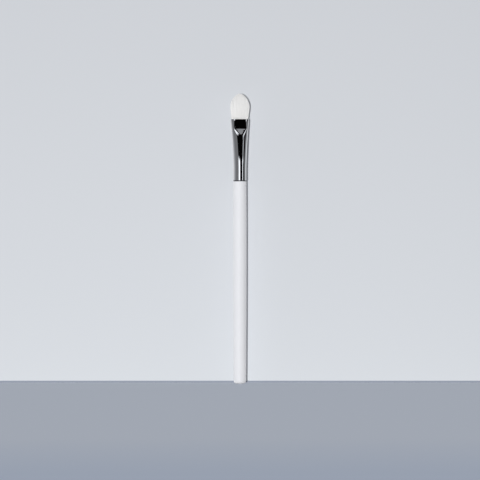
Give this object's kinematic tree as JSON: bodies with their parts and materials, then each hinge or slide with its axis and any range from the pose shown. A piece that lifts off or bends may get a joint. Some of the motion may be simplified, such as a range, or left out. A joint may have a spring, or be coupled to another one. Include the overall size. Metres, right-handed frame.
{
  "type": "flat concealer brush",
  "caption": "Flat concealer brush: slim white lacquered handle, dark plated ferrule pressed from round to flat, and a short rounded tuft of white synthetic filaments",
  "frame": {"origin": "centre of the handle's flat end face", "axes": "+Z runs along the brush from the handle's end to the tip of the tuft, +X runs across the width of the flat tuft, and +Y runs through the thickness, so that the flat in the picture faces -Y"},
  "size_m": [0.0114, 0.0078, 0.17],
  "materials": {
    "white_lacquer": "satin white lacquer over turned wood",
    "black_nickel": "bright dark nickel plating on a drawn metal tube",
    "adhesive": "cured adhesive",
    "root_resin": "cast epoxy resin",
    "filament": "tapered synthetic filament"
  },
  "bodies": {
    "root": {"handle": "white_lacquer", "ferrule": "black_nickel", "tenon_glue": "adhesive", "root_plug": "root_resin", "tuft_front": "filament", "tuft_core": "filament", "tuft_back": "filament"}
  },
  "joints": []
}
